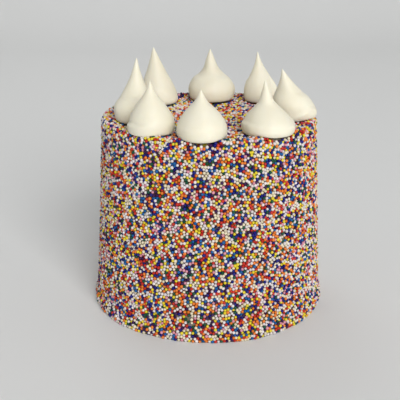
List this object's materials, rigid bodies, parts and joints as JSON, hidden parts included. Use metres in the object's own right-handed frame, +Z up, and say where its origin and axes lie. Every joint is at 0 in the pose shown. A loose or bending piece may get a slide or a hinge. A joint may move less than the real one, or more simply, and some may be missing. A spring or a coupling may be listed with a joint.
{
  "type": "sprinkle covered party cake",
  "caption": "Tall round party cake coated all over in tiny rainbow sugar beads, with a ring of pointed piped buttercream dollops round its top and a flat base.",
  "frame": {"origin": "middle of the flat underside", "axes": "+Z up, -Y towards the front of the cake, +X to the right seen from the front"},
  "size_m": [0.1638, 0.1625, 0.172],
  "materials": {
    "bead_coating": "tiny hard sugar beads in white, yellow, orange, red, blue, green and purple pressed into pale buttercream, soft sheen",
    "piped_cream": "smooth ivory buttercream, satin"
  },
  "bodies": {
    "root": {"cake": "bead_coating", "dollop_1": "piped_cream", "dollop_2": "piped_cream", "dollop_3": "piped_cream", "dollop_4": "piped_cream", "dollop_5": "piped_cream", "dollop_6": "piped_cream", "dollop_7": "piped_cream", "dollop_8": "piped_cream"}
  },
  "joints": []
}
